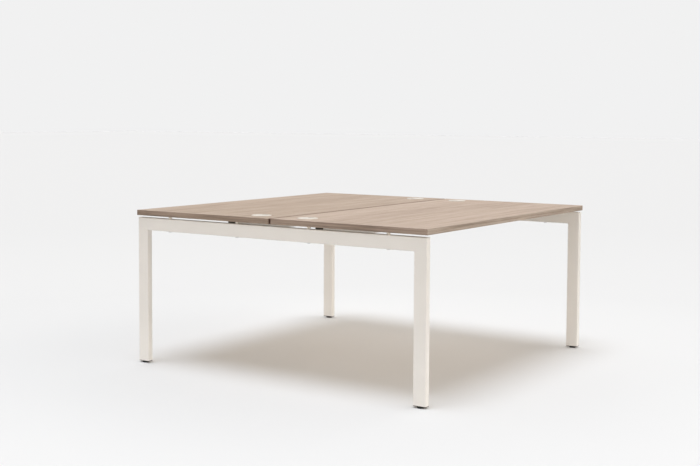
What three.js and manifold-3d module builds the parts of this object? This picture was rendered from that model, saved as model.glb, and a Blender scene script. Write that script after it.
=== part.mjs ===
// Benching desk for two: a pair of worktops on one frame of welded side gates and long beams.
// Millimetres, +Z up, X along the seam between the worktops, Y from one user to the other.
// The origin is on the floor under the middle of the desk.
import * as THREE from 'three';
import { mergeVertices } from 'three/addons/utils/BufferGeometryUtils.js';
import Module from 'manifold-3d';

const wasm = await Module();
wasm.setup();

// Worktops
const topLength = 1600;
const topDepth = 800;
const topThickness = 25;
const topHeight = 740;
const seamGap = 10;
const edgeBand = 2;

// Side gates: two legs and a rail of rectangular tube, mitred and welded
const tubeWide = 60;
const tubeNarrow = 30;
const tubeWall = 2;
const tubeCorner = 3;
const frameInset = 5;

// Long beams under the worktops
const beamWide = 40;
const beamTall = 60;
const beamWall = 2;
const beamFromSeam = 245;
const capFlange = 3;
const capTongue = 15;

// Spacer sleeves and the bolts that hold the worktops down
const sleeveHeight = 10;
const sleeveDiameter = 16;
const topBoltDiameter = 6;
const topBoltHead = 17;
const topBoltHeadHeight = 3.5;
const topBoltEmbed = 13;
const innerBoltFromSeam = 200;
const outerBoltFromEdge = 197;

// Angle brackets between beams and rails, with a bolt in each flange
const bracketThickness = 4;
const bracketHeight = 40;
const bracketBoltDiameter = 6;
const bracketBoltHead = 13;
const bracketBoltHeadHeight = 4;
const bracketBoltTip = 5;
const spannerRoom = 8;
const bracketEdge = 14;

// Round cable grommets
const grommetHole = 80;
const grommetLip = 6;
const grommetFlange = 2.5;
const grommetDepth = 22;
const linerWall = 2;
const lidLedge = 3;
const lidThickness = 3;
const mouthWidth = 36;
const mouthDepth = 19;
const mouthCorner = 5;
const grommetFromSide = 110;
const grommetFromSeam = 130;

// Leg plugs and levelling feet
const plugFlange = 3;
const plugBody = 28;
const footBase = 32;
const footBaseHeight = 5.5;
const footEdge = 1.5;
const footNeck = 16;
const footNeckHeight = 1.2;
const studDiameter = 10;
const studLength = 36;

// Gaps between pieces that slide, turn or pass through one another
const clearance = 0.3;

// Facets of a full turn, by the size of the round piece
const largeTurn = 36;
const middleTurn = 24;
const smallTurn = 12;
const cornerSteps = 2;

// Levels and planes that follow from the sizes
const topUnderside = topHeight - topThickness;
const railTop = topUnderside - sleeveHeight;
const railBottom = railTop - tubeWide;
const frameX = topLength / 2 - frameInset;
const frameY = seamGap / 2 + topDepth - frameInset;
const railInside = frameX - tubeNarrow;
const gateCentre = frameX - tubeNarrow / 2;
const footHeight = footBaseHeight + footNeckHeight + clearance;
const legBottom = footHeight + plugFlange;
const legCentreY = frameY - tubeWide / 2;
const beamBottom = topUnderside - beamTall;
const beamInside = beamFromSeam - beamWide / 2;
const bracketCentreZ = (railTop + Math.max(railBottom, beamBottom)) / 2;
const bracketBoltHole = bracketBoltDiameter / 2 + clearance;
const beamBoltFromRail = capFlange + capTongue + bracketBoltHead / 2 + spannerRoom;
const railBoltFromBeam = bracketThickness + bracketBoltHead / 2 + spannerRoom;
const grommetX = topLength / 2 - grommetFromSide;
const grommetRadius = grommetHole / 2;
const linerOutside = grommetRadius - clearance;
const linerInside = linerOutside - linerWall;
const lidRadius = linerInside - clearance;
const lidBottom = topHeight + grommetFlange - lidThickness;
const ledgeTop = lidBottom - clearance;
const boltRows = [
  -(seamGap / 2 + topDepth - outerBoltFromEdge),
  -innerBoltFromSeam,
  innerBoltFromSeam,
  seamGap / 2 + topDepth - outerBoltFromEdge,
];
const ends = [['left', -1], ['right', 1]];
const sides = [['near', -1], ['far', 1]];

// Finishes
const finish = (color, roughness, metalness = 0) =>
  new THREE.MeshStandardMaterial({ color, roughness, metalness });
const finishes = {
  board: finish(0xc6b3a3, 0.55),
  band: finish(0x8f7d70, 0.6),
  frame: finish(0xe6e3dd, 0.45, 0.1),
  steel: finish(0xb9bbbd, 0.35, 0.9),
  black: finish(0x1d1c1b, 0.55),
  grommet: finish(0xf0efec, 0.4),
};

const desk = new THREE.Group();

function addPiece(name, geometry, material, parent = desk) {
  const mesh = new THREE.Mesh(geometry, finishes[material]);
  mesh.name = name;
  parent.add(mesh);
  return mesh;
}

// Closed geometry with shared vertices only, turned so that its faces point out
function closed(geometry) {
  const bare = geometry.clone();
  bare.deleteAttribute('normal');
  bare.deleteAttribute('uv');
  const merged = mergeVertices(bare, 1e-4);
  const index = Array.from(merged.index.array);
  const corner = [0, 1, 2].map(() => new THREE.Vector3());
  const kept = [];
  let volume = 0;
  for (let i = 0; i < index.length; i += 3) {
    const triangle = index.slice(i, i + 3);
    if (new Set(triangle).size < 3) continue;
    corner.forEach((point, k) => point.fromBufferAttribute(merged.attributes.position, triangle[k]));
    volume += corner[0].dot(corner[1].clone().cross(corner[2]));
    kept.push(triangle);
  }
  const outward = kept.map((triangle) => (volume < 0 ? triangle.reverse() : triangle));
  merged.setIndex(outward.flat());
  return merged;
}

function toSolid(geometry) {
  const merged = closed(geometry);
  return new wasm.Manifold(new wasm.Mesh({
    numProp: 3,
    vertProperties: new Float32Array(merged.attributes.position.array),
    triVerts: new Uint32Array(merged.index.array),
  }));
}

function fromSolid(solid) {
  const mesh = solid.getMesh();
  const geometry = new THREE.BufferGeometry();
  geometry.setAttribute('position', new THREE.BufferAttribute(mesh.vertProperties, 3));
  geometry.setIndex(new THREE.BufferAttribute(mesh.triVerts, 1));
  return geometry;
}

function cut(geometry, tools) {
  return fromSolid(tools.reduce((solid, tool) => solid.subtract(toSolid(tool)), toSolid(geometry)));
}

function join(first, second) {
  return fromSolid(toSolid(first).add(toSolid(second)));
}

// Turned piece about Z from [radius, height] points; a ring's outline closes on itself
function turned(points, facets, ring = false) {
  const outline = points.map(([radius, height]) => new THREE.Vector2(radius, height));
  if (ring) outline.push(outline[0].clone());
  return closed(new THREE.LatheGeometry(outline, facets).rotateX(Math.PI / 2));
}

function roundBar(radius, bottom, top, facets = smallTurn) {
  return turned([[0, bottom], [radius, bottom], [radius, top], [0, top]], facets);
}

// Rectangle from (x0, y0) to (x1, y1) with round corners, as a closed path
function roundedRectangle(path, x0, y0, x1, y1, radius) {
  const quarter = Math.PI / 2;
  path.absarc(x1 - radius, y0 + radius, radius, -quarter, 0);
  path.absarc(x1 - radius, y1 - radius, radius, 0, quarter);
  path.absarc(x0 + radius, y1 - radius, radius, quarter, 2 * quarter);
  path.absarc(x0 + radius, y0 + radius, radius, 2 * quarter, 3 * quarter);
  path.closePath();
  return path;
}

function extruded(shape, depth, steps = cornerSteps) {
  return closed(new THREE.ExtrudeGeometry(shape, { depth, bevelEnabled: false, curveSegments: steps }));
}

// Hollow tube along Z, its section from the origin to (across, along) in X and Y
function tube(across, along, wall, corner, length) {
  const section = roundedRectangle(new THREE.Shape(), 0, 0, across, along, corner);
  const hollow = new THREE.Path();
  const innerCorner = Math.max(corner - wall, wall / 4);
  section.holes.push(roundedRectangle(hollow, wall, wall, across - wall, along - wall, innerCorner));
  return extruded(section, length);
}

// Slopes the ends of a tube along Z, so that the side at Y = 0 stays the long one
function mitre(geometry, length, atStart, atEnd) {
  const place = geometry.attributes.position;
  for (let i = 0; i < place.count; i += 1) {
    const onEnd = place.getZ(i) > length / 2;
    if (onEnd && atEnd) place.setZ(i, length - place.getY(i));
    if (!onEnd && atStart) place.setZ(i, place.getY(i));
  }
  return geometry;
}

// Worktops: faced board, with grommet holes right through and blind holes for the top bolts
function worktop(side) {
  const edgeY = seamGap / 2 + edgeBand;
  const farY = seamGap / 2 + topDepth - edgeBand;
  const board = new THREE.BoxGeometry(topLength - 2 * edgeBand, farY - edgeY, topThickness);
  board.translate(0, side * (edgeY + farY) / 2, topUnderside + topThickness / 2);
  const holes = [];
  const boltTop = topUnderside + topBoltEmbed + clearance;
  for (const [, end] of ends) {
    const grommet = roundBar(grommetRadius, topUnderside - 1, topHeight + 1, largeTurn);
    holes.push(grommet.translate(end * grommetX, side * grommetFromSeam, 0));
    for (const row of boltRows.filter((y) => y * side > 0)) {
      const bore = roundBar(topBoltDiameter / 2 + clearance, topUnderside - 1, boltTop);
      holes.push(bore.translate(end * gateCentre, row, 0));
    }
  }
  return cut(board, holes);
}

// Edge band: a thin frame round the board, as thick as the board is
function edgeBandRing(side) {
  const rectangle = (path, inset) => {
    const x = topLength / 2 - inset;
    const y = topDepth / 2 - inset;
    path.moveTo(-x, -y);
    path.lineTo(x, -y);
    path.lineTo(x, y);
    path.lineTo(-x, y);
    path.closePath();
    return path;
  };
  const ring = rectangle(new THREE.Shape(), 0);
  ring.holes.push(rectangle(new THREE.Path(), edgeBand));
  return extruded(ring, topThickness).translate(0, side * (seamGap + topDepth) / 2, topUnderside);
}

for (const [sideName, side] of sides) {
  addPiece(`worktop_${sideName}`, worktop(side), 'board');
  addPiece(`edge_band_${sideName}`, edgeBandRing(side), 'band');
}

// Side gate, built as the left one: the outer face of its tubes looks along -X
function rail() {
  const length = 2 * frameY;
  const bar = mitre(tube(tubeNarrow, tubeWide, tubeWall, tubeCorner, length), length, true, true);
  bar.rotateX(-Math.PI / 2).translate(-frameX, -frameY, railTop);
  const holes = boltRows.map((row) => {
    const bore = roundBar(topBoltDiameter / 2 + clearance, railBottom - 1, railTop + 1);
    return bore.translate(-gateCentre, row, 0);
  });
  for (const [, side] of sides) {
    const bore = roundBar(bracketBoltHole, -tubeWall - 1, tubeWall + 1).rotateY(Math.PI / 2);
    holes.push(bore.translate(-railInside, side * (beamInside - railBoltFromBeam), bracketCentreZ));
  }
  return cut(bar, holes);
}

function leg(side) {
  const length = railTop - legBottom;
  const bar = mitre(tube(tubeNarrow, tubeWide, tubeWall, tubeCorner, length), length, false, true);
  if (side > 0) bar.translate(-tubeNarrow, 0, 0).rotateZ(Math.PI);
  return bar.translate(-frameX, side * frameY, legBottom);
}

// Plastic plug that closes a leg: a flange under the tube, a body inside it and a bore for the stud
function legPlug() {
  const x = tubeNarrow / 2;
  const y = tubeWide / 2;
  const inset = tubeWall + clearance;
  const plugTop = plugFlange + plugBody;
  const flange = roundedRectangle(new THREE.Shape(), -x, -y, x, y, tubeCorner);
  const body = roundedRectangle(new THREE.Shape(), inset - x, inset - y, x - inset, y - inset, tubeWall);
  const bore = roundBar(studDiameter / 2 + clearance, -1, plugTop + 1, middleTurn);
  return cut(join(extruded(flange, plugFlange), extruded(body, plugTop)), [bore]);
}

// Levelling foot: a moulded base with a neck under the plug and a stud up into it
function levellingFoot() {
  const base = footBase / 2;
  const neckTop = footBaseHeight + footNeckHeight;
  return turned([
    [0, 0],
    [base - footEdge, 0],
    [base, footEdge],
    [base, footBaseHeight - 2 * footEdge],
    [base - 2 * footEdge, footBaseHeight],
    [footNeck / 2, footBaseHeight],
    [footNeck / 2, neckTop],
    [studDiameter / 2, neckTop],
    [studDiameter / 2, neckTop + studLength],
    [0, neckTop + studLength],
  ], middleTurn);
}

function topBolt() {
  const shank = topBoltDiameter / 2;
  const tip = topUnderside + topBoltEmbed;
  return turned([
    [0, railBottom - topBoltHeadHeight],
    [topBoltHead / 2 - topBoltHeadHeight / 2, railBottom - topBoltHeadHeight],
    [topBoltHead / 2, railBottom - topBoltHeadHeight / 2],
    [topBoltHead / 2, railBottom],
    [shank, railBottom],
    [shank, tip],
    [0, tip],
  ], smallTurn);
}

function spacerSleeve() {
  const bore = topBoltDiameter / 2 + clearance;
  const outside = sleeveDiameter / 2;
  return turned([[bore, railTop], [outside, railTop], [outside, topUnderside], [bore, topUnderside]],
    smallTurn, true);
}

// Angle bracket, built at the left end of the far beam: one flange on the rail, one on the beam
function bracket(side) {
  const onRail = railBoltFromBeam + bracketEdge;
  const onBeam = beamBoltFromRail + bracketEdge;
  const angle = new THREE.Shape();
  const outline = [
    [0, 0],
    [onBeam, 0],
    [onBeam, -bracketThickness],
    [bracketThickness, -bracketThickness],
    [bracketThickness, -onRail],
    [0, -onRail],
  ];
  angle.setFromPoints(outline.map(([x, y]) => new THREE.Vector2(x, y * side)));
  const plate = extruded(angle, bracketHeight).translate(0, 0, -bracketHeight / 2);
  const through = bracketThickness + 1;
  const railHole = roundBar(bracketBoltHole, -1, through).rotateY(Math.PI / 2);
  const beamHole = roundBar(bracketBoltHole, -1, through).rotateX(side * Math.PI / 2);
  return cut(plate, [
    railHole.translate(0, -side * railBoltFromBeam, 0),
    beamHole.translate(beamBoltFromRail, 0, 0),
  ]);
}

// Bracket bolt along +Z: the head stands on the flange, the tip reaches past the tube's wall
function bracketBolt(wall) {
  const shank = bracketBoltDiameter / 2;
  const head = bracketBoltHead / 2;
  const tip = bracketThickness + wall + bracketBoltTip;
  return turned([
    [0, -bracketBoltHeadHeight],
    [head - bracketBoltHeadHeight / 4, -bracketBoltHeadHeight],
    [head, -bracketBoltHeadHeight * 3 / 4],
    [head, 0],
    [shank, 0],
    [shank, tip],
    [0, tip],
  ], smallTurn);
}

// What belongs to one end of the desk, built as the left end and turned half round for the right
function gate(endName, end) {
  const group = new THREE.Group();
  group.rotation.z = end > 0 ? Math.PI : 0;
  desk.add(group);
  addPiece(`${endName}_rail`, rail(), 'frame', group);
  boltRows.forEach((row, i) => {
    const number = end < 0 ? i + 1 : boltRows.length - i;
    addPiece(`spacer_sleeve_${endName}_${number}`, spacerSleeve(), 'frame', group)
      .position.set(-gateCentre, row, 0);
    addPiece(`top_bolt_${endName}_${number}`, topBolt(), 'steel', group)
      .position.set(-gateCentre, row, 0);
  });
  for (const [, side] of sides) {
    const place = `${endName}_${side * end > 0 ? 'near' : 'far'}`;
    addPiece(`leg_${place}`, leg(side), 'frame', group);
    addPiece(`leg_plug_${place}`, legPlug(), 'black', group)
      .position.set(-gateCentre, side * legCentreY, footHeight);
    addPiece(`levelling_foot_${place}`, levellingFoot(), 'black', group)
      .position.set(-gateCentre, side * legCentreY, 0);
    const corner = new THREE.Group();
    corner.position.set(-railInside, side * beamInside, bracketCentreZ);
    group.add(corner);
    addPiece(`beam_bracket_${place}`, bracket(side), 'steel', corner);
    const railBolt = addPiece(`bracket_rail_bolt_${place}`, bracketBolt(tubeWall), 'steel', corner);
    railBolt.position.set(bracketThickness, -side * railBoltFromBeam, 0);
    railBolt.rotation.y = -Math.PI / 2;
    const beamBolt = addPiece(`bracket_beam_bolt_${place}`, bracketBolt(beamWall), 'steel', corner);
    beamBolt.position.set(beamBoltFromRail, -side * bracketThickness, 0);
    beamBolt.rotation.x = -side * Math.PI / 2;
    const capPlace = addPiece(`beam_cap_${place}`, beamCap(), 'black', group).position;
    capPlace.set(-railInside, side * beamFromSeam, beamBottom);
  }
}

// End cap of a beam: a flange against the rail and a tongue in the tube
function beamCap() {
  const half = beamWide / 2;
  const inset = beamWall + clearance;
  const flange = roundedRectangle(new THREE.Shape(), -half, 0, half, beamTall, tubeCorner);
  const tongue = roundedRectangle(new THREE.Shape(), inset - half, inset, half - inset, beamTall - inset,
    beamWall);
  const cap = join(extruded(flange, capFlange), extruded(tongue, capFlange + capTongue));
  return cap.rotateX(Math.PI / 2).rotateZ(Math.PI / 2);
}

// Long beam between the end caps, with a hole for each bracket's bolt
function beam(side) {
  const length = 2 * (railInside - capFlange);
  const bar = tube(beamWide, beamTall, beamWall, tubeCorner, length);
  bar.rotateX(Math.PI / 2).rotateZ(Math.PI / 2);
  bar.translate(-length / 2, side * beamFromSeam - beamWide / 2, beamBottom);
  const holes = ends.map(([, end]) => {
    const bore = roundBar(bracketBoltHole, -beamWall - 1, beamWall + 1).rotateX(Math.PI / 2);
    return bore.translate(end * (railInside - beamBoltFromRail), side * beamInside, bracketCentreZ);
  });
  return cut(bar, holes);
}

for (const [endName, end] of ends) gate(endName, end);
for (const [sideName, side] of sides) addPiece(`beam_${sideName}`, beam(side), 'frame');

// Grommet liner: a lip on the worktop, a barrel in its hole and a ledge inside for the lid
function grommetLiner() {
  const lip = grommetRadius + grommetLip;
  const lipTop = topHeight + grommetFlange;
  const foot = topHeight - grommetDepth;
  const ledge = linerInside - lidLedge;
  return turned([
    [ledge, ledgeTop - lidLedge],
    [linerInside, ledgeTop - 2 * lidLedge],
    [linerInside, foot],
    [linerOutside, foot],
    [linerOutside, topHeight],
    [lip, topHeight],
    [lip - grommetFlange / 2, lipTop],
    [linerInside, lipTop],
    [linerInside, ledgeTop],
    [ledge, ledgeTop],
  ], largeTurn, true);
}

// Grommet lid: a disc with a mouth for the cables, open towards +Y
function grommetLid() {
  const half = mouthWidth / 2;
  const floor = lidRadius - mouthDepth;
  const mouth = roundedRectangle(new THREE.Shape(), -half, floor, half, 2 * lidRadius, mouthCorner);
  const disc = roundBar(lidRadius, 0, lidThickness, largeTurn);
  return cut(disc, [extruded(mouth, lidThickness + 2).translate(0, 0, -1)]);
}

for (const [endName, end] of ends) {
  for (const [sideName, side] of sides) {
    const place = `${endName}_${sideName}`;
    const liner = addPiece(`grommet_liner_${place}`, grommetLiner(), 'grommet');
    liner.position.set(end * grommetX, side * grommetFromSeam, 0);
    const lid = addPiece(`grommet_lid_${place}`, grommetLid(), 'grommet');
    lid.position.set(end * grommetX, side * grommetFromSeam, lidBottom);
    lid.rotation.z = end * Math.PI / 2;
  }
}

export default desk;
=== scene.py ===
import math

import bmesh
import bpy
import numpy as np
from mathutils import Matrix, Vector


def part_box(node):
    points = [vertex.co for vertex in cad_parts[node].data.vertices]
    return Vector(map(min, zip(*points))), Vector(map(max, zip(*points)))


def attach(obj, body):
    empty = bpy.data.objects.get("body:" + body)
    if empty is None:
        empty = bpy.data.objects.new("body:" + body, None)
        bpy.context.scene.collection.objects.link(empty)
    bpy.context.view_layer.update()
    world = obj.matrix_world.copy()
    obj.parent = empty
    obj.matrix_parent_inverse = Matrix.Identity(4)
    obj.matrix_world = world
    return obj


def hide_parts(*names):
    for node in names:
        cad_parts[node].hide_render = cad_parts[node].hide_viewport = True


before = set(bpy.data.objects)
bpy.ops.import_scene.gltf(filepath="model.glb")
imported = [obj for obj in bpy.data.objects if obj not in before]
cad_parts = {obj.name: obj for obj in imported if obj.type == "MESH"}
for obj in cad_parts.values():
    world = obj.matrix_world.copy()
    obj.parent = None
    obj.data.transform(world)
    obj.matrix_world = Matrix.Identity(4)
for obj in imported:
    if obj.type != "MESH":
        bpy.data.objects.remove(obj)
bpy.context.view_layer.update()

mm = 0.001
ends = {"left": -1, "right": 1}
sides = {"near": -1, "far": 1}
places = [(f"{end}_{side}", ends[end], sides[side]) for end in ends for side in sides]


# Finishes. Patterns are in metres on Object coordinates, or on a band's own UV map.
def startFinish(name):
    finish = bpy.data.materials.new(name)
    finish.use_nodes = True
    tree = finish.node_tree
    return finish, tree, tree.nodes["Principled BSDF"]


def addNode(tree, kind, sockets, **settings):
    made = tree.nodes.new("ShaderNode" + kind)
    for key, value in settings.items():
        setattr(made, key, value)
    for key, value in sockets.items():
        if isinstance(value, bpy.types.NodeSocket):
            tree.links.new(value, made.inputs[key])
        else:
            made.inputs[key].default_value = value
    return made


# One step of arithmetic on two values or sockets
def sums(tree, operation, first, second):
    return addNode(tree, "Math", {0: first, 1: second}, operation=operation).outputs[0]


noiseSpan = (0.3, 0.7)  # where nearly all of a noise lies


# Noise whose cells are 1 / scale metres long in each direction
def noise(tree, vector, scale, detail=2.0, roughness=0.5, shift=(0, 0, 0)):
    placed = addNode(tree, "Mapping", {"Vector": vector, "Location": shift, "Scale": scale}).outputs[0]
    sockets = {"Vector": placed, "Scale": 1.0, "Detail": detail, "Roughness": roughness}
    return addNode(tree, "TexNoise", sockets).outputs[0]


# A value's range stretched onto another range, held at both ends
def spread(tree, value, fromLow, fromHigh, toLow, toHigh):
    sockets = {0: value, 1: fromLow, 2: fromHigh, 3: toLow, 4: toHigh}
    return addNode(tree, "MapRange", sockets).outputs[0]


# Colours at their positions, with straight steps between them
def ramp(tree, value, stops):
    made = addNode(tree, "ValToRGB", {0: value})
    line = made.color_ramp
    while len(line.elements) < len(stops):
        line.elements.new(0.5)
    for element, (position, colour) in zip(line.elements, stops):
        element.position = position
        element.color = (*colour, 1.0)
    return made.outputs[0]


# Colour times a tint, which is a plain colour or a socket
def tintBy(tree, colour, amount, tint):
    if not isinstance(tint, bpy.types.NodeSocket):
        tint = (*tint, 1.0)
    sockets = {0: amount, 6: colour, 7: tint}
    return addNode(tree, "Mix", sockets, data_type="RGBA", blend_type="MULTIPLY").outputs[2]


# Height as fine bumps on the surface
def relief(tree, shader, height, strength, depth):
    sockets = {"Height": height, "Strength": strength, "Distance": depth}
    bump = addNode(tree, "Bump", sockets)
    tree.links.new(bump.outputs[0], shader.inputs["Normal"])


woodPrint = {
    "layerRough": 0.55,
    "stops": (0.25, 0.50, 0.75),  # tones that are dark, middle and light
    "lineStretch": (0.1, 1.0, 1.0),
    "lineDetail": (2.0, 0.22),
    "poreCells": (16.0, 620.0, 620.0),  # per metre
    "poreRange": (0.58, 0.70),
    "poreDeep": 0.6,
    "toneRange": (0.2, 0.8),
    "roughness": (0.64, 0.52),
    "relief": (0.25, 0.12 * mm),
    "underReach": (0.2 * mm, 0.4 * mm),  # above the lowest face, where the tint of the underside ends
}
boardGrain = {
    "dark": (0.306, 0.229, 0.177),
    "middle": (0.427, 0.328, 0.261),
    "light": (0.533, 0.427, 0.356),
    "layers": (  # along the grain and across it per metre, weight, detail
        (0.45, 6.0, 0.28, 1.0),
        (1.8, 34.0, 0.50, 2.0),
        (5.0, 150.0, 0.52, 3.0),
    ),
    "lines": {"perMetre": 20.0, "wander": 9.0, "weight": 0.10},
    "poreDark": (0.80, 0.78, 0.76),
    "underside": (1.05, 1.06, 0.95),
    "gloss": 0.10,
}
bandGrain = {
    "dark": (0.190, 0.143, 0.111),
    "middle": (0.295, 0.226, 0.177),
    "light": (0.382, 0.306, 0.249),
    "layers": (
        (1.2, 26.0, 0.80, 1.0),
        (3.0, 130.0, 1.05, 2.0),
        (9.0, 420.0, 0.50, 2.0),
    ),
    "lines": {"perMetre": 60.0, "wander": 6.0, "weight": 0.12},
    "poreDark": (0.74, 0.72, 0.70),
    "gloss": 0.5,
}


# Printed wood grain: tone = middle + weighted sum of noises drawn out along the grain + growth lines.
# A board's underside has a tint of its own. A band is lighter or darker by its tone attribute, which
# holds painted light and shade.
def woodFinish(name, grain, coordinates, shift, tint):
    finish, tree, shader = startFinish(name)
    vector = addNode(tree, "TexCoord", {}).outputs[coordinates]
    tone = None
    for along, across, weight, detail in grain["layers"]:
        layer = noise(tree, vector, (along, across, across), detail, woodPrint["layerRough"], shift)
        part = sums(tree, "MULTIPLY", sums(tree, "SUBTRACT", layer, 0.5), weight)
        tone = part if tone is None else sums(tree, "ADD", tone, part)
    lines = grain["lines"]
    sockets = {"Vector": vector, "Location": shift, "Scale": woodPrint["lineStretch"]}
    drawn = addNode(tree, "Mapping", sockets).outputs[0]
    detail, detailScale = woodPrint["lineDetail"]
    wave = addNode(tree, "TexWave", {
        "Vector": drawn, "Scale": lines["perMetre"], "Distortion": lines["wander"],
        "Detail": detail, "Detail Scale": detailScale,
    }, wave_type="BANDS", bands_direction="Y").outputs[1]
    growth = sums(tree, "MULTIPLY", sums(tree, "SUBTRACT", wave, 0.5), lines["weight"])
    tone = sums(tree, "ADD", sums(tree, "ADD", tone, growth), 0.5)
    tones = [[a * b for a, b in zip(grain[key], tint)] for key in ("dark", "middle", "light")]
    colour = ramp(tree, tone, list(zip(woodPrint["stops"], tones)))
    poreNoise = noise(tree, vector, woodPrint["poreCells"], shift=shift)
    pores = spread(tree, poreNoise, *woodPrint["poreRange"], 0.0, 1.0)
    colour = tintBy(tree, colour, pores, grain["poreDark"])
    if coordinates == "Object":
        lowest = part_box("worktop_near")[0][2]
        start, stop = woodPrint["underReach"]
        rise = addNode(tree, "SeparateXYZ", {0: vector}).outputs[2]
        under = spread(tree, rise, lowest + start, lowest + stop, 1.0, 0.0)
        colour = tintBy(tree, colour, under, grain["underside"])
    else:
        # The band's tone attribute: painted light and shade by the side of the band
        shade = addNode(tree, "Attribute", {}, attribute_name="tone").outputs["Color"]
        colour = tintBy(tree, colour, 1.0, shade)
    tree.links.new(colour, shader.inputs["Base Color"])
    rough = spread(tree, tone, *woodPrint["toneRange"], *woodPrint["roughness"])
    tree.links.new(rough, shader.inputs["Roughness"])
    shader.inputs["Specular IOR Level"].default_value = grain["gloss"]
    height = sums(tree, "SUBTRACT", tone, sums(tree, "MULTIPLY", pores, woodPrint["poreDeep"]))
    relief(tree, shader, height, *woodPrint["relief"])
    return finish


powder = {
    "cloudCells": (5.0, 5.0, 5.0), "cloudShade": 0.965,
    "peelCells": (650.0, 650.0, 650.0), "roughness": (0.42, 0.54), "relief": (0.22, 0.08 * mm),
}


# Powder coat: fine orange peel and a faint change of tone over a hand's width
def powderCoat(name, colour):
    finish, tree, shader = startFinish(name)
    vector = addNode(tree, "TexCoord", {}).outputs["Object"]
    broad = noise(tree, vector, powder["cloudCells"])
    peel = noise(tree, vector, powder["peelCells"], roughness=0.6)
    shade = [c * powder["cloudShade"] for c in colour]
    tones = ramp(tree, broad, list(zip(noiseSpan, (shade, colour))))
    tree.links.new(tones, shader.inputs["Base Color"])
    tree.links.new(spread(tree, peel, *noiseSpan, *powder["roughness"]), shader.inputs["Roughness"])
    relief(tree, shader, peel, *powder["relief"])
    return finish


moulded = {
    "cloudCells": (30.0, 30.0, 30.0), "grainShare": 0.6, "cloudShare": 0.4, "span": (0.35, 0.65),
    "roughBelow": 0.06, "roughAbove": 0.08, "relief": (0.25, 0.05 * mm),
}


# Moulded plastic: spark-eroded grain, darker where the grain is low as painted shade in its hollows, and
# with a random cloudy change of tone
def mouldedPlastic(name, colour, rough, grainPerMetre, hollowPaintedShade):
    finish, tree, shader = startFinish(name)
    vector = addNode(tree, "TexCoord", {}).outputs["Object"]
    grain = noise(tree, vector, (grainPerMetre,) * 3, 3.0, 0.6)
    cloud = noise(tree, vector, moulded["cloudCells"])
    grainPart = sums(tree, "MULTIPLY", grain, moulded["grainShare"])
    cloudPart = sums(tree, "MULTIPLY", cloud, moulded["cloudShare"])
    both = sums(tree, "ADD", grainPart, cloudPart)
    # Darkest tone: painted shade in the grain's hollows, mixed with a random cloudy tone
    low = [c * hollowPaintedShade for c in colour]
    tones = ramp(tree, both, list(zip(moulded["span"], (low, colour))))
    tree.links.new(tones, shader.inputs["Base Color"])
    roughest = rough + moulded["roughAbove"]
    roughness = spread(tree, grain, *noiseSpan, rough - moulded["roughBelow"], roughest)
    tree.links.new(roughness, shader.inputs["Roughness"])
    relief(tree, shader, grain, *moulded["relief"])
    return finish


zinc = {
    "cloudCells": (90.0, 90.0, 90.0),
    "tones": ((0.3, (0.50, 0.51, 0.53)), (0.55, (0.62, 0.63, 0.64)), (0.75, (0.66, 0.65, 0.60))),
    "scratchCells": (250.0, 250.0, 2600.0), "roughness": (0.28, 0.46), "relief": (0.12, 0.03 * mm),
}


# Zinc plate: bright metal with the cloudy change of tone that the bath leaves
def zincPlate(name):
    finish, tree, shader = startFinish(name)
    vector = addNode(tree, "TexCoord", {}).outputs["Object"]
    cloud = noise(tree, vector, zinc["cloudCells"], 3.0, 0.6)
    scratch = noise(tree, vector, zinc["scratchCells"], roughness=0.6)
    tree.links.new(ramp(tree, cloud, zinc["tones"]), shader.inputs["Base Color"])
    tree.links.new(spread(tree, scratch, *noiseSpan, *zinc["roughness"]), shader.inputs["Roughness"])
    shader.inputs["Metallic"].default_value = 1.0
    relief(tree, shader, scratch, *zinc["relief"])
    return finish


boardFinish = {
    "near": woodFinish("woodBoardNear", boardGrain, "Object", (3.7, 1.9, 0.0), (1.0, 1.0, 1.0)),
    "far": woodFinish("woodBoardFar", boardGrain, "Object", (8.2, 5.3, 0.0), (0.910, 0.903, 0.876)),
}
bandFinish = {
    "near": woodFinish("woodBandNear", bandGrain, "UV", (1.3, 0.4, 0.0), (1.0, 1.0, 1.0)),
    "far": woodFinish("woodBandFar", bandGrain, "UV", (6.1, 2.4, 0.0), (0.98, 0.98, 0.96)),
}
frameWhite = powderCoat("frameWhite", (0.777, 0.762, 0.737))
blackPlastic = mouldedPlastic("capBlack", (0.036, 0.030, 0.025), 0.48, 1500.0, 0.86)
footPlastic = mouldedPlastic("footBlack", (0.022, 0.022, 0.023), 0.40, 1200.0, 0.86)
sleeveWhite = powderCoat("sleeveWhite", (0.84, 0.82, 0.78))
grommetWhite = mouldedPlastic("grommetWhite", (0.608, 0.570, 0.518), 0.42, 1100.0, 0.95)
zincSteel = zincPlate("zincSteel")
print("finishes made:", len(bpy.data.materials))


# Surfaces. Closed line through corners, each turned on a true arc of its radius: the weighted
# quadratic from the tangent point before the corner to the one after it. A holding point past
# each end of an arc keeps the flat next to it shaded flat.
def softCorners(corners, radii, steps, hold=0.25):
    corners = np.asarray(corners, float)
    radii = np.broadcast_to(np.asarray(radii, float), (len(corners),))
    inward = corners - np.roll(corners, 1, 0)
    inward = inward / np.linalg.norm(inward, axis=1, keepdims=True)
    outward = np.roll(inward, -1, 0)
    turn = np.arccos(np.clip((inward * outward).sum(1), -1, 1))
    reach = (radii * np.tan(turn / 2))[:, None]
    start = corners - reach * inward
    end = corners + reach * outward
    t = np.linspace(0, 1, steps + 1)
    before = np.tile((1 - t) ** 2, (len(corners), 1))[..., None]
    after = np.tile(t ** 2, (len(corners), 1))[..., None]
    middle = (np.cos(turn / 2)[:, None] * 2 * t * (1 - t))[..., None]
    arcs = start[:, None] * before + corners[:, None] * middle + end[:, None] * after
    arcs = arcs / (before + middle + after)
    first = (start - hold * reach * inward)[:, None]
    last = (end + hold * reach * outward)[:, None]
    line = np.concatenate([first, arcs, last], 1).reshape(-1, 2)
    apart = np.linalg.norm(line - np.roll(line, 1, 0), axis=1) > 1e-9
    return line[apart]


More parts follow.
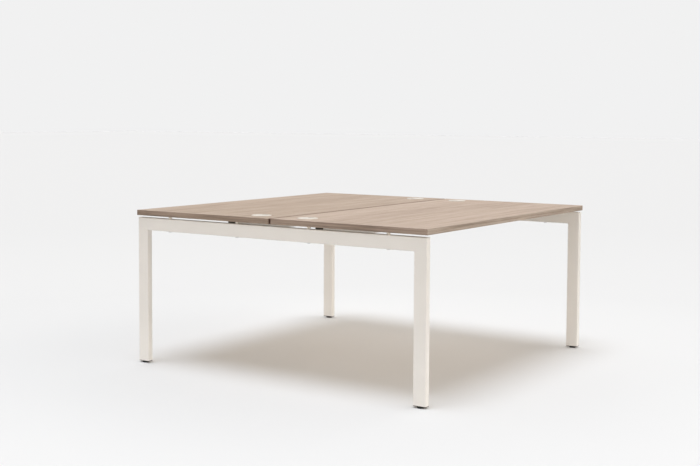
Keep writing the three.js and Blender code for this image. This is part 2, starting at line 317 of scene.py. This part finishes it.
# Rectangle between two corners, rounded
def rectangle(low, high, radii, steps):
    corners = ((low[0], low[1]), (high[0], low[1]), (high[0], high[1]), (low[0], high[1]))
    return softCorners(corners, radii, steps)


# Profile of (radius, height) turned about the upright axis: x = r cos a, y = r sin a.
# Rows marked six are hexagons: r grows from the flats to the corners as 1 / cos.
def turned(profile, segments, six=None):
    angle = np.arange(segments) * 2 * math.pi / segments
    radius = np.repeat(profile[:, :1], segments, 1)
    if six is not None:
        flat = math.cos(math.pi / 6) / np.cos(angle % (math.pi / 3) - math.pi / 6)
        radius = np.where(six[:, None], radius * flat, radius)
    height = np.repeat(profile[:, 1:], segments, 1)
    return np.stack([radius * np.cos(angle), radius * np.sin(angle), height], -1)


# Each grid point joins the next in its row and the row after: a loop closes the rows,
# a ring closes the columns, and flat ends close what is left open.
def gridFaces(rows, columns, ring, loop):
    r = np.arange(rows if ring else rows - 1)[:, None]
    c = np.arange(columns if loop else columns - 1)[None, :]
    below = (r + 1) % rows
    beside = (c + 1) % columns
    corners = (r * columns + c, r * columns + beside, below * columns + beside, below * columns + c)
    return np.stack(corners, -1).reshape(-1, 4)


surface = {"mergeWithin": 1e-6, "sharpFrom": math.radians(35)}


# Grid of points to a closed, smooth piece. A grid with its own UV map already repeats its first row
# and column at the end, and merging joins them.
def addPiece(name, points, finish, body, node, ring=False, flatEnds=False, uv=None, tone=None):
    rows, columns = points.shape[:2]
    faces = gridFaces(rows, columns, ring, uv is None).tolist()
    if flatEnds:
        faces.append(list(range(columns))[::-1])
        faces.append(list(range((rows - 1) * columns, rows * columns)))
    mesh = bpy.data.meshes.new(name)
    mesh.from_pydata(points.reshape(-1, 3).tolist(), [], faces)
    if uv is not None:
        index = np.zeros(len(mesh.loops), np.int32)
        mesh.loops.foreach_get("vertex_index", index)
        mesh.uv_layers.new(name="grain").data.foreach_set("uv", uv.reshape(-1, 2)[index].ravel())
        # tone is a colour per point that the finish multiplies in; on the bands it is painted light and
        # shade
        shade = np.column_stack([tone.reshape(-1, 3), np.ones(rows * columns)])[index]
        mesh.attributes.new("tone", "FLOAT_COLOR", "CORNER").data.foreach_set("color", shade.ravel())
    work = bmesh.new()
    work.from_mesh(mesh)
    bmesh.ops.remove_doubles(work, verts=work.verts, dist=surface["mergeWithin"])
    bmesh.ops.recalc_face_normals(work, faces=work.faces)
    work.to_mesh(mesh)
    work.free()
    mesh.shade_smooth()
    mesh.set_sharp_from_angle(angle=surface["sharpFrom"])
    mesh.materials.append(finish)
    piece = bpy.data.objects.new(name, mesh)
    bpy.context.scene.collection.objects.link(piece)
    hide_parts(node)
    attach(piece, body)
    return piece


# Camera
view = {
    "place": (-4.8935, -3.1571, 1.1950),
    "yaw": 0.6064,
    "pitch": math.radians(-3.5),
    "roll": 0.0041,
    "picture": (700, 466),  # pixels, which focal and centre are also in
    "focal": 1169.8,
    "centre": (328.51, 187.57),
    "sensor": 36.0,
    "clipEnd": 200.0,
}


def addCamera():
    wide, high = view["picture"]
    out = math.cos(view["pitch"])
    ahead = np.array([math.cos(view["yaw"]) * out, math.sin(view["yaw"]) * out, math.sin(view["pitch"])])
    level = np.array([math.sin(view["yaw"]), -math.cos(view["yaw"]), 0.0])
    up = np.cross(level, ahead)
    right = math.cos(view["roll"]) * level + math.sin(view["roll"]) * up
    top = math.cos(view["roll"]) * up - math.sin(view["roll"]) * level
    lens = bpy.data.cameras.new("camera")
    lens.sensor_width = view["sensor"]
    lens.lens = view["focal"] / wide * view["sensor"]
    lens.shift_x = (wide / 2 - view["centre"][0]) / wide
    lens.shift_y = (view["centre"][1] - high / 2) / wide
    lens.clip_end = view["clipEnd"]
    camera = bpy.data.objects.new("camera", lens)
    bpy.context.scene.collection.objects.link(camera)
    turn = Matrix(np.column_stack([right, top, -ahead]).tolist()).to_4x4()
    turn.translation = view["place"]
    camera.matrix_world = turn
    bpy.context.scene.camera = camera


addCamera()
print("camera placed")


# Worktops: the boards keep their own solids, the bands are swept round them
for side in sides:
    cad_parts[f"worktop_{side}"].data.materials.clear()
    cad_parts[f"worktop_{side}"].data.materials.append(boardFinish[side])

band = {
    "thick": 2.0 * mm, "round": 0.9 * mm, "joint": 0.15 * mm, "edgeSteps": 5,
    "cornerSteps": 8, "hold": 0.4 * mm,
    # Painted light and shade: long sides lighter, ends darker, the side along the seam darker still as
    # painted shade in the gap
    "longSidePaintedLight": (1.11, 1.155, 1.18), "endSidePaintedShade": (0.94, 0.918, 0.918), "seamPaintedShade": (0.42, 0.30, 0.25),
}


# The band's section goes round the board: at each corner its outward line turns a quarter
# about the board's own corner, so the outside is an arc as wide as the band is thick.
def addBand(side):
    low, high = (np.array(corner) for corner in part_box(f"edge_band_{side}"))
    thick = band["thick"]
    radii = (band["joint"], band["round"], band["round"], band["joint"])
    section = rectangle((0.0, low[2]), (thick, high[2]), radii, band["edgeSteps"])
    section = np.vstack([section, section[:1]])
    quarter = np.linspace(0, math.pi / 2, band["cornerSteps"] + 1)
    angle = np.concatenate([quarter[:1], quarter, quarter[-1:]])
    slide = np.zeros(len(angle))
    slide[0] = -band["hold"]
    slide[-1] = band["hold"]
    angle = (angle[None, :] + np.arange(4)[:, None] * math.pi / 2).ravel()
    slide = np.tile(slide, 4)
    centre = np.array([(high[0] - thick, high[1] - thick), (low[0] + thick, high[1] - thick),
                       (low[0] + thick, low[1] + thick), (high[0] - thick, low[1] + thick)])
    centre = np.repeat(centre, band["cornerSteps"] + 3, 0)
    outward = np.stack([np.cos(angle), np.sin(angle)], -1)
    along = np.stack([-np.sin(angle), np.cos(angle)], -1)
    start = centre + along * slide[:, None]
    start = np.vstack([start, start[:1]])
    outward = np.vstack([outward, outward[:1]])
    flat = start[:, None] + outward[:, None] * section[None, :, :1]
    height = np.broadcast_to(section[None, :, 1:], (*flat.shape[:2], 1))
    points = np.concatenate([flat, height], -1)
    edge = start + outward * thick
    run = np.concatenate([[0.0], np.linalg.norm(np.diff(edge, axis=0), axis=1).cumsum()])
    rise = np.concatenate([[0.0], np.linalg.norm(np.diff(section, axis=0), axis=1).cumsum()])
    uv = np.stack(np.meshgrid(run, rise, indexing="ij"), -1)
    # Painted light and shade per point: long sides lighter, ends darker, and the side facing the seam
    # darker still as painted shade in the gap
    longSidePaintedLight = np.where(outward[:, 1:] * sides[side] < 0, band["seamPaintedShade"], band["longSidePaintedLight"])
    tone = outward[:, :1] ** 2 * np.array(band["endSidePaintedShade"]) + outward[:, 1:] ** 2 * longSidePaintedLight
    tone = np.broadcast_to(tone[:, None], points.shape)
    addPiece(f"wood_edge_{side}", points, bandFinish[side], "frame", f"edge_band_{side}",
             uv=uv, tone=tone)


for side in sides:
    addBand(side)
print("worktops and edge bands done")


# Frame tubes
tube = {"wall": 2.0 * mm, "corner": 3.0 * mm, "steps": 7}


# A tube is its section carried from one end to the other outside and back inside. Each end
# is cut at a distance that may change over the section, so mitres meet on one plane.
def addTube(name, low, high, startAt, endAt, order, node):
    wall = tube["wall"]
    outside = rectangle(low, high, tube["corner"], tube["steps"])
    inside = rectangle(np.add(low, wall), np.subtract(high, wall), tube["corner"] - wall, tube["steps"])
    rows = [np.column_stack([line, cut(line)]) for line, cut in (
        (outside, startAt), (outside, endAt), (inside, endAt), (inside, startAt))]
    addPiece(name, np.stack(rows)[..., order], frameWhite, "frame", node, ring=True)


for end in ends:
    (x0, y0, z0), (x1, y1, z1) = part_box(f"{end}_rail")
    addTube(f"{end}_rail_tube", (x0, z0), (x1, z1),
            lambda line: y0 + (z1 - line[:, 1]), lambda line: y1 - (z1 - line[:, 1]),
            (0, 2, 1), f"{end}_rail")
for place, end, side in places:
    (x0, y0, z0), (x1, y1, z1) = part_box(f"leg_{place}")
    outer = y1 if side > 0 else y0
    addTube(f"leg_tube_{place}", (x0, y0), (x1, y1),
            lambda line: np.full(len(line), z0), lambda line: z1 - abs(line[:, 1] - outer),
            (0, 1, 2), f"leg_{place}")
for side in sides:
    (x0, y0, z0), (x1, y1, z1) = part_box(f"beam_{side}")
    addTube(f"beam_tube_{side}", (y0, z0), (y1, z1),
            lambda line: np.full(len(line), x0), lambda line: np.full(len(line), x1),
            (2, 0, 1), f"beam_{side}")
print("frame tubes done")


# Caps and plugs: loops of one rounded rectangle, drawn in and stepped along an axis
cap = {"flange": 3.0 * mm, "corner": 3.0 * mm, "cornerSteps": 5, "edge": 0.7 * mm, "fit": 2.3 * mm}
plug = {**cap, "edge": 0.5 * mm, "bore": 5.3 * mm}


# A quarter round from (edge, 0) to (0, edge), as inset and height
def quarterRound(edge, count=4):
    t = np.linspace(0, math.pi / 2, count + 1)
    return [(edge * (1 - math.sin(a)), edge * (1 - math.cos(a))) for a in t]


# Rounded face, flange and the smaller part that fits inside the tube, one loop for each step
def steppedLoops(low, high, form, deep):
    fit, flange = form["fit"], form["flange"]
    loops = []
    for inset, height in quarterRound(form["edge"]) + [(0.0, flange), (fit, flange), (fit, deep)]:
        corner = form["corner"] - inset
        line = rectangle(np.add(low, inset), np.subtract(high, inset), corner, form["cornerSteps"])
        loops.append(np.column_stack([line, np.full(len(line), height)]))
    return np.stack(loops)


for place, end, side in places:
    (x0, y0, z0), (x1, y1, z1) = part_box(f"beam_cap_{place}")
    loops = steppedLoops((y0, z0), (y1, z1), cap, x1 - x0)
    loops[..., 2] = (x0 + loops[..., 2]) if end < 0 else (x1 - loops[..., 2])
    addPiece(f"beam_end_{place}", loops[..., (2, 0, 1)], blackPlastic, "frame",
             f"beam_cap_{place}", flatEnds=True)

    (x0, y0, z0), (x1, y1, z1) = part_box(f"leg_plug_{place}")
    loops = steppedLoops((x0, y0), (x1, y1), plug, z1 - z0)
    middle = np.array([(x0 + x1) / 2, (y0 + y1) / 2])
    away = loops[0, :, :2] - middle
    away = middle + away / np.linalg.norm(away, axis=1, keepdims=True) * plug["bore"]
    bore = np.stack([np.column_stack([away, np.full(len(away), h)]) for h in (z1 - z0, 0.0)])
    loops = np.concatenate([loops, bore])
    loops[..., 2] += z0
    addPiece(f"leg_end_{place}", loops, blackPlastic, "frame",
             f"leg_plug_{place}", ring=True)
print("caps and plugs done")


# Spacer sleeves and bolts
sleeve = {"bore": 3.3 * mm, "edge": 0.6 * mm, "edgeSteps": 4, "segments": 40}
topBolt = {
    "head": 3.5 * mm, "shank": 3.0 * mm, "dome": 2.2 * mm, "socket": 2.9 * mm, "socketDeep": 2.0 * mm,
    "drillDeep": 0.4 * mm, "drillShare": 0.8, "chamfer": 0.8 * mm, "edgeSteps": 5, "segments": 48,
}
bracketBolt = {**topBolt, "head": 4.0 * mm, "dome": 1.4 * mm, "socketDeep": 2.2 * mm}


# Bolt along its own axis from socket to tip: a hexagon hollow, a domed head, a shank with a chamfer
def boltPoints(bolt, headRadius, tip):
    head = bolt["head"]
    shank = bolt["shank"]
    socket = bolt["socket"]
    chamfer = bolt["chamfer"]
    floor = bolt["socketDeep"] - head
    corners = (
        (0.0, floor - bolt["drillDeep"]), (socket * bolt["drillShare"], floor), (socket, floor),
        (socket, -head), (headRadius, -head), (headRadius, 0.0), (shank, 0.0),
        (shank, tip - chamfer), (shank - chamfer, tip), (0.0, tip),
    )
    radii = np.array((0, 0, 0.1, 0.25, bolt["dome"] / mm, 0.15, 0.1, 0.2, 0.2, 0)) * mm  # at each corner
    profile = softCorners(corners, radii, bolt["edgeSteps"])
    six = (profile[:, 0] <= socket + 1e-6) & (profile[:, 1] <= floor + bolt["socketDeep"])
    six &= np.arange(len(profile)) < len(profile) // 2
    return turned(profile, bolt["segments"], six)


for end in ends:
    for number in range(1, 5):
        (x0, y0, z0), (x1, y1, z1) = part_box(f"spacer_sleeve_{end}_{number}")
        axis = np.array([(x0 + x1) / 2, (y0 + y1) / 2, 0.0])
        outside = (y1 - y0) / 2
        profile = rectangle((sleeve["bore"], z0), (outside, z1), sleeve["edge"], sleeve["edgeSteps"])
        addPiece(f"spacer_{end}_{number}", turned(profile, sleeve["segments"]) + axis, sleeveWhite,
                 "frame", f"spacer_sleeve_{end}_{number}", ring=True)
        (x0, y0, z0), (x1, y1, z1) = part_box(f"top_bolt_{end}_{number}")
        bearing = z0 + topBolt["head"]
        points = boltPoints(topBolt, (y1 - y0) / 2, z1 - bearing)
        addPiece(f"top_screw_{end}_{number}", points + axis + np.array([0.0, 0.0, bearing]), zincSteel,
                 "frame", f"top_bolt_{end}_{number}")

for place, end, side in places:
    low, high = (np.array(corner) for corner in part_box(f"bracket_rail_bolt_{place}"))
    middle = (low + high) / 2
    points = boltPoints(bracketBolt, (high[1] - low[1]) / 2, high[0] - low[0] - bracketBolt["head"])
    start = (low[0] if end > 0 else high[0]) + end * bracketBolt["head"]
    across, along, length = np.moveaxis(points, -1, 0)
    placed = np.stack([start + end * length, middle[1] + along, middle[2] + across], -1)
    addPiece(f"rail_screw_{place}", placed, zincSteel, "frame",
             f"bracket_rail_bolt_{place}")
    low, high = (np.array(corner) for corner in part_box(f"bracket_beam_bolt_{place}"))
    middle = (low + high) / 2
    start = (low[1] if side > 0 else high[1]) + side * bracketBolt["head"]
    placed = np.stack([middle[0] + across, start + side * length, middle[2] + along], -1)
    addPiece(f"beam_screw_{place}", placed, zincSteel, "frame",
             f"bracket_beam_bolt_{place}")
print("sleeves and bolts done")


# Brackets
bracket = {
    "thick": 4.0 * mm, "bend": 6.5 * mm, "bendSteps": 8, "corner": 7.0 * mm, "cornerPoints": 7,
    "edge": 0.5 * mm, "edgeSteps": 3, "hold": 0.5 * mm,
}


# Bent plate: a rounded section runs along the rail, round the bend and along the beam. Its
# half height falls along a quarter circle towards each end, so the flanges have round corners.
def addBracket(place, end, side):
    low, high = (np.array(corner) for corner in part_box(f"beam_bracket_{place}"))
    size = high - low
    bend = bracket["bend"]
    corner = bracket["corner"]
    count = bracket["cornerPoints"]
    hold = bracket["hold"]
    run = corner * (1 - np.cos(np.linspace(0, math.pi / 2, count)))
    drop = corner - np.sqrt(np.maximum(corner ** 2 - (corner - run) ** 2, 0.0))
    turn = np.linspace(0, math.pi / 2, bracket["bendSteps"] + 1)
    onRail = np.stack([np.zeros(count), size[1] - run], -1)
    onBeam = np.stack([size[0] - run[::-1], np.zeros(count)], -1)
    arc = np.stack([bend * (1 - np.cos(turn)), bend * (1 - np.sin(turn))], -1)
    path = np.vstack([onRail, [(0.0, bend + hold)], arc, [(bend + hold, 0.0)], onBeam])
    facing = np.concatenate([np.zeros(count + 1), turn, np.full(count + 1, math.pi / 2)])
    drop = np.concatenate([drop, np.zeros(len(turn) + 2), drop[::-1]])
    normal = np.stack([np.cos(facing), np.sin(facing)], -1)
    half = size[2] / 2
    section = rectangle((0.0, -half), (bracket["thick"], half), bracket["edge"], bracket["edgeSteps"])
    flat = path[:, None] + normal[:, None] * section[None, :, :1]
    height = section[None, :, 1] - np.sign(section[None, :, 1]) * drop[:, None]
    x = (low[0] + flat[..., 0]) if end < 0 else (high[0] - flat[..., 0])
    y = (high[1] - flat[..., 1]) if side > 0 else (low[1] + flat[..., 1])
    points = np.stack([x, y, (low[2] + high[2]) / 2 + height], -1)
    addPiece(f"angle_plate_{place}", points, zincSteel, "frame", f"beam_bracket_{place}",
             flatEnds=True)


for place, end, side in places:
    addBracket(place, end, side)
print("brackets done")


# Cable grommets
grommet = {
    "flange": 2.5 * mm, "barrel": 39.7 * mm, "inside": 37.7 * mm, "ledge": 3.0 * mm, "lipSlope": 0.5 * mm,
    "segments": 96, "edgeSteps": 6,
    "lidRadius": 37.4 * mm, "mouthWide": 36.0 * mm, "mouthDeep": 19.0 * mm, "mouthCorner": 5.0 * mm,
    "mouthLead": 2.6 * mm, "lidEdge": 0.6 * mm, "rim": 2.2 * mm, "panelDrop": 0.5 * mm,
    "panelSlope": 0.3 * mm, "rimPoints": 72,
    "rimClear": 0.16,  # radians of the rim left free for the round at each side of the mouth
}


# Liner: one closed profile turned right round, with a crowned lip, a barrel and a ledge for the lid
def addLiner(place):
    low, high = (np.array(corner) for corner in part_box(f"grommet_liner_{place}"))
    axis = np.array([*((low + high) / 2)[:2], 0.0])
    lip = (high[0] - low[0]) / 2
    seat = high[2] - grommet["flange"]
    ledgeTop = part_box(f"grommet_lid_{place}")[0][2]
    inside = grommet["inside"]
    ledge = inside - grommet["ledge"]
    corners = (
        (ledge, ledgeTop - grommet["ledge"]), (inside, ledgeTop - 2 * grommet["ledge"]), (inside, low[2]),
        (grommet["barrel"], low[2]), (grommet["barrel"], seat), (lip, seat),
        (lip - grommet["lipSlope"], high[2]), (inside, high[2]), (inside, ledgeTop), (ledge, ledgeTop),
    )
    radii = np.array((0.4, 0.4, 0.4, 0.4, 0.1, 0.3, 1.7, 0.4, 0.1, 0.3)) * mm  # at each corner
    profile = softCorners(corners, radii, grommet["edgeSteps"])
    addPiece(f"grommet_ring_{place}", turned(profile, grommet["segments"]) + axis, grommetWhite,
             "frame", f"grommet_liner_{place}", ring=True)


# Lid outline, drawn in by an inset: most of a circle, and a mouth cut in from the rim whose outer
# corners lose the inset from their radius while its inner corners gain it
def lidOutline(inset):
    radius = grommet["lidRadius"] - inset
    half = grommet["mouthWide"] / 2 + inset
    floor = grommet["lidRadius"] - grommet["mouthDeep"] - inset
    lead = grommet["mouthLead"] - inset
    gate = math.pi / 2 + math.asin(half / radius)
    clear = grommet["rimClear"]
    sweep = np.linspace(gate + clear, 3 * math.pi - gate - clear, grommet["rimPoints"])
    sweep = np.concatenate([[gate], sweep, [3 * math.pi - gate]])
    rim = np.stack([np.cos(sweep), np.sin(sweep)], -1) * radius
    mouth = np.array(((half, floor), (-half, floor)))
    inner = np.full(2, grommet["mouthCorner"] + inset)
    radii = np.concatenate([[lead], np.zeros(grommet["rimPoints"]), [lead], inner])
    return softCorners(np.vstack([rim, mouth]), radii, grommet["edgeSteps"])


# Lid: loops of the outline give a rounded edge, a rim and a panel a little below the rim.
# The mouth opens towards the middle of the desk.
def addLid(place, end):
    low, high = (np.array(corner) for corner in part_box(f"grommet_lid_{place}"))
    thick = high[2] - low[2]
    edge = quarterRound(grommet["lidEdge"])
    rim = grommet["rim"]
    steps = edge + [(inset, thick - height) for inset, height in edge[::-1]]
    steps += [(rim, thick), (rim + grommet["panelSlope"], thick - grommet["panelDrop"])]
    loops = []
    for inset, height in steps:
        line = lidOutline(inset)
        loops.append(np.column_stack([line, np.full(len(line), height)]))
    across, along, height = np.moveaxis(np.stack(loops), -1, 0)
    linerLow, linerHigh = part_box(f"grommet_liner_{place}")
    centre = (linerLow + linerHigh) / 2
    loops = np.stack([centre[0] - end * along, centre[1] + end * across, low[2] + height], -1)
    addPiece(f"grommet_cover_{place}", loops, grommetWhite, f"lid_{place}",
             f"grommet_lid_{place}", flatEnds=True)


for place, end, side in places:
    addLiner(place)
    addLid(place, end)
print("grommets done")


# Levelling feet
foot = {
    "baseHigh": 5.5 * mm, "baseChamfer": (0.8 * mm, 1.2 * mm), "baseSlope": (3.0 * mm, 1.8 * mm),
    "neck": 8.0 * mm, "neckHigh": 1.2 * mm, "edgeSteps": 5, "segments": 48,
    "stud": 5.0 * mm, "threadDeep": 0.55 * mm, "pitch": 1.5 * mm, "studRows": 190,
    "tipHigh": 1.0 * mm, "tipChamfer": 0.5 * mm,
}


# Base, six-sided neck and stud in one turned profile. On the stud the radius also waves with
# height / pitch - angle, which makes the thread.
def addFoot(place):
    low, high = (np.array(corner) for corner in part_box(f"levelling_foot_{place}"))
    axis = np.array([*((low + high) / 2)[:2], low[2]])
    base = (high[0] - low[0]) / 2
    neckTop = foot["baseHigh"] + foot["neckHigh"]
    top = high[2] - low[2]
    baseHigh, neck, stud = foot["baseHigh"], foot["neck"], foot["stud"]
    chamfer, slope = foot["baseChamfer"], foot["baseSlope"]
    corners = (
        (0.0, 0.0), (base - chamfer[0], 0.0), (base, chamfer[1]), (base, baseHigh - slope[1]),
        (base - slope[0], baseHigh), (neck, baseHigh), (neck, neckTop), (stud, neckTop), (0.0, top),
    )
    radii = np.array((0, 0.5, 0.6, 1.0, 1.2, 0.2, 0.3, 0.1, 0)) * mm  # at each corner
    profile = softCorners(corners, radii, foot["edgeSteps"])[:-2]  # the stud's own rows follow
    six = (profile[:, 0] < neck + 1e-6) & (profile[:, 1] > baseHigh - 1e-6)
    six &= profile[:, 0] > (stud + neck) / 2
    body = turned(profile, foot["segments"], six)
    height = np.linspace(neckTop, top - foot["tipHigh"], foot["studRows"])
    studPoints = turned(np.column_stack([np.full(len(height), stud), height]), foot["segments"])
    around = np.arange(foot["segments"]) / foot["segments"]
    wave = 0.5 - 0.5 * np.cos(2 * math.pi * (height[:, None] / foot["pitch"] - around[None, :]))
    studPoints[..., :2] *= (1 - wave * foot["threadDeep"] / stud)[..., None]
    tipRadius = stud - foot["threadDeep"] - foot["tipChamfer"]
    tip = turned(np.array(((tipRadius, top), (0.0, top))), foot["segments"])
    points = np.concatenate([body, studPoints, tip]) + axis
    addPiece(f"foot_{place}_glide", points, footPlastic, f"foot_{place}",
             f"levelling_foot_{place}")


for place, end, side in places:
    addFoot(place)
print("feet done")


# Studio: one pale floor with painted pools of light, soft fill from all round and a broad soft light from
# above
studio = {
    "floorHalf": 60.0,
    # Painted light on the floor: palest near the desk, going over to the far tone
    "floorPaintedLightNear": (0.783, 0.780, 0.775),
    "floorFar": (0.702, 0.699, 0.694),
    "floorCentre": -1.0,  # metres ahead of the middle of the desk, where the floor is palest
    "floorReach": (1.36, 8.0),  # metres from there over which it goes from near to far
    "floorMiddle": (0.3, 0.27),  # at this share of the reach, this share of near is left
    "floorRough": 0.9,
    "paintedPoolReach": (1.5, 3.0),  # metres from the middle of the desk over which the light on the floor fades
    "paintedPoolEdge": (0.28, 0.28, 0.28),
    "backdrop": (0.880, 0.880, 0.881),
    "heights": (0.0, 0.15, 0.35, 0.55, 0.75, 1.0),  # sine of the angle above the floor
    "right": (0.10, 1.56, 3.00, 2.02, 0.67, 0.0),  # fill from each side of the view at those heights
    "ahead": (0.05, 1.13, 2.15, 1.40, 0.38, 0.0),
    "left": (0.60, 0.60, 1.00, 1.05, 0.60, 0.0),
    "behind": (7.4, 0.60, 0.35, 0.20, 0.10, 0.0),
    "tintHeights": (0.15, 0.55),  # low tint up to the first, high tint from the second
    "lowTint": (1.13, 1.0, 0.86),
    "highTint": (1.03, 1.0, 0.96),
    "topTint": (0.920, 0.995, 1.095),
    "topStrength": 1.74,
    "topWide": math.radians(36),
    "topLean": (-0.113, -0.120),  # to the right and ahead, as shares of its height
}


# Fill from one side: its strength over height, times the squared cosine of the angle round to it
def sideFill(tree, height, level, towards, amounts):
    peak = max(amounts)
    low = np.array(studio["lowTint"])
    high = np.array(studio["highTint"])
    heights = np.array(studio["heights"])
    blend = np.interp(heights, studio["tintHeights"], (0, 1))[:, None]
    tones = (low * (1 - blend) + high * blend) * np.array(amounts)[:, None] / peak
    tone = ramp(tree, height, list(zip(heights.tolist(), tones.tolist())))
    facing = addNode(tree, "VectorMath", {0: level, 1: towards}, operation="DOT_PRODUCT").outputs["Value"]
    facing = sums(tree, "MAXIMUM", facing, 0.0)
    share = sums(tree, "MULTIPLY", sums(tree, "MULTIPLY", facing, facing), peak)
    return addNode(tree, "Background", {"Color": tone, "Strength": share}).outputs[0]


# The eye sees one plain backdrop, and the object is lit by the fill from the four sides
def addSurround(right, ahead):
    world = bpy.data.worlds.new("surround")
    world.use_nodes = True
    tree = world.node_tree
    way = addNode(tree, "TexCoord", {}).outputs["Generated"]
    height = addNode(tree, "SeparateXYZ", {0: way}).outputs[2]
    level = addNode(tree, "VectorMath", {0: way, 1: (1.0, 1.0, 0.0)}, operation="MULTIPLY").outputs[0]
    level = addNode(tree, "VectorMath", {0: level}, operation="NORMALIZE").outputs[0]
    light = None
    for name, towards in (("right", right), ("ahead", ahead), ("left", -right), ("behind", -ahead)):
        fill = sideFill(tree, height, level, towards, studio[name])
        light = fill if light is None else addNode(tree, "AddShader", {0: light, 1: fill}).outputs[0]
    plain = tree.nodes["Background"]
    plain.inputs["Color"].default_value = (*studio["backdrop"], 1.0)
    seen = addNode(tree, "LightPath", {}).outputs["Is Camera Ray"]
    both = addNode(tree, "MixShader", {0: seen, 1: light, 2: plain.outputs[0]})
    tree.links.new(both.outputs[0], tree.nodes["World Output"].inputs["Surface"])
    bpy.context.scene.world = world


# The floor that is seen has a painted pool of light: palest before the desk, it goes over into the
# backdrop. What it throws back on the desk is a second painted pool of light, which fades with the
# distance from the desk as a lit area does.
def addFloor(ahead):
    half = studio["floorHalf"]
    corners = [(-half, -half, 0), (half, -half, 0), (half, half, 0), (-half, half, 0)]
    mesh = bpy.data.meshes.new("floor")
    mesh.from_pydata(corners, [], [(0, 1, 2, 3)])
    finish, tree, shader = startFinish("floorPale")
    vector = addNode(tree, "TexCoord", {}).outputs["Object"]
    centre = studio["floorCentre"] * ahead
    away = addNode(tree, "VectorMath", {0: vector, 1: centre}, operation="DISTANCE").outputs["Value"]
    away = spread(tree, away, *studio["floorReach"], 0.0, 1.0)
    near, far = studio["floorPaintedLightNear"], studio["floorFar"]
    spot, share = studio["floorMiddle"]
    middle = [share * a + (1 - share) * b for a, b in zip(near, far)]
    # Painted pool of light that the eye sees on the floor
    tone = ramp(tree, away, ((0.0, near), (spot, middle), (1.0, far)))
    # Painted pool of light in what the floor throws back on the desk
    reach = addNode(tree, "VectorMath", {0: vector}, operation="LENGTH").outputs["Value"]
    fade = spread(tree, reach, *studio["paintedPoolReach"], 0.0, 1.0)
    pool = ramp(tree, fade, ((0.0, near), (1.0, studio["paintedPoolEdge"])))
    seen = addNode(tree, "LightPath", {}).outputs["Is Camera Ray"]
    tone = addNode(tree, "Mix", {0: seen, 6: pool, 7: tone}, data_type="RGBA").outputs[2]
    tree.links.new(tone, shader.inputs["Base Color"])
    shader.inputs["Roughness"].default_value = studio["floorRough"]
    shader.inputs["Specular IOR Level"].default_value = 0.0
    mesh.materials.append(finish)
    floor = bpy.data.objects.new("floor", mesh)
    bpy.context.scene.collection.objects.link(floor)


# A wide, distant light nearly overhead
def addTopLight(right, ahead):
    light = bpy.data.lights.new("ceilingLight", "SUN")
    light.energy = studio["topStrength"]
    light.color = studio["topTint"]
    light.angle = studio["topWide"]
    lamp = bpy.data.objects.new("ceilingLight", light)
    bpy.context.scene.collection.objects.link(lamp)
    lean = studio["topLean"]
    towards = right * lean[0] + ahead * lean[1] + np.array([0.0, 0.0, 1.0])
    towards = towards / np.linalg.norm(towards)
    across = np.cross((1.0, 0.0, 0.0), towards)
    across = across / np.linalg.norm(across)
    turn = np.column_stack([np.cross(across, towards), across, towards])
    lamp.matrix_world = Matrix(turn.tolist()).to_4x4()


def addStudio():
    right = np.array([math.sin(view["yaw"]), -math.cos(view["yaw"]), 0.0])
    ahead = np.array([math.cos(view["yaw"]), math.sin(view["yaw"]), 0.0])
    addSurround(right, ahead)
    addFloor(ahead)
    addTopLight(right, ahead)
    bpy.context.scene.view_settings.view_transform = "Standard"


addStudio()
print("studio lit")
